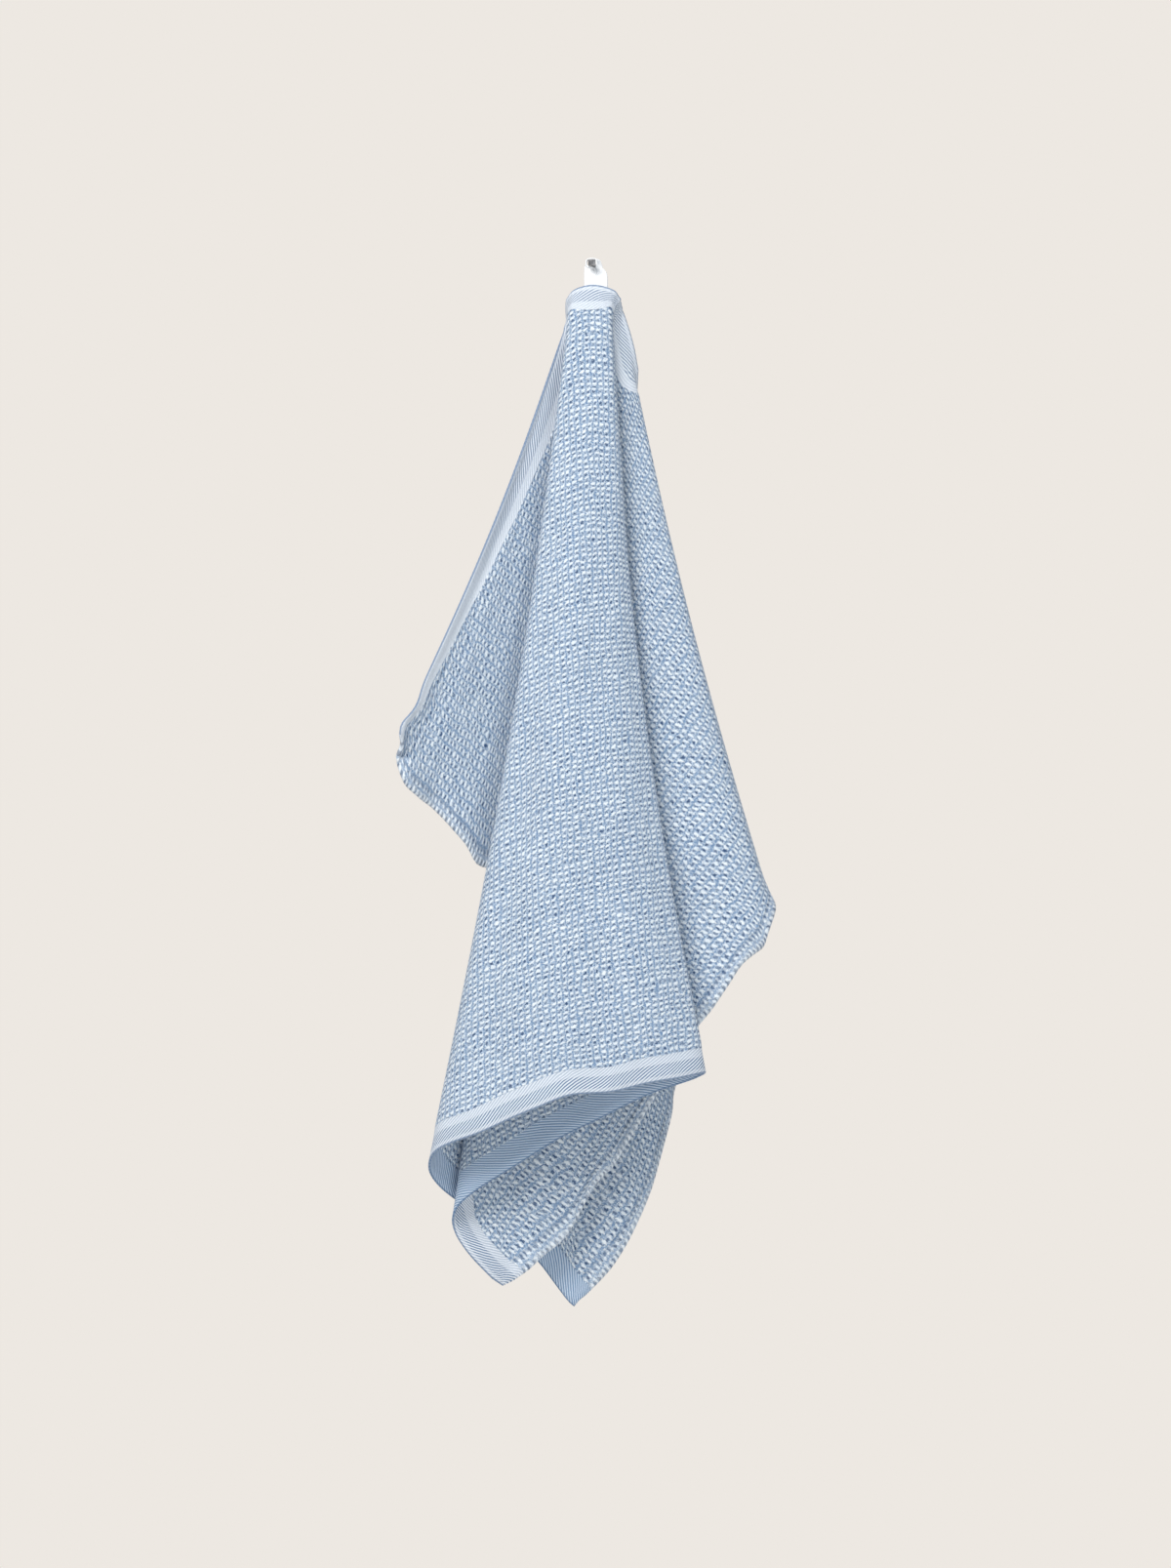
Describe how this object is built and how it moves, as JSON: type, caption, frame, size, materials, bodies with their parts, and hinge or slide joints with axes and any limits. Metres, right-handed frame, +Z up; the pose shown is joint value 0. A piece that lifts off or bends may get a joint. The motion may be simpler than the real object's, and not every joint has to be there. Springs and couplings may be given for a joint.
{
  "type": "towel on a wall hook",
  "caption": "Woven cotton hand towel hung by its tape loop from a small bent steel wall hook, gathered at the top and falling in soft pleats.",
  "frame": {"origin": "middle of the hook's flat wall face", "axes": "+Z up, +Y into the wall, so the towel hangs on the -Y side, and +X to the right seen from the room"},
  "size_m": [0.23, 0.0944, 0.6501],
  "materials": {
    "towel_cloth": "textured cotton weave with twill bands",
    "loop_tape": "plain woven tape",
    "hook_steel": "brushed"
  },
  "bodies": {
    "root": {"towel": "towel_cloth", "hanging_loop": "loop_tape", "hook": "hook_steel"}
  },
  "joints": []
}
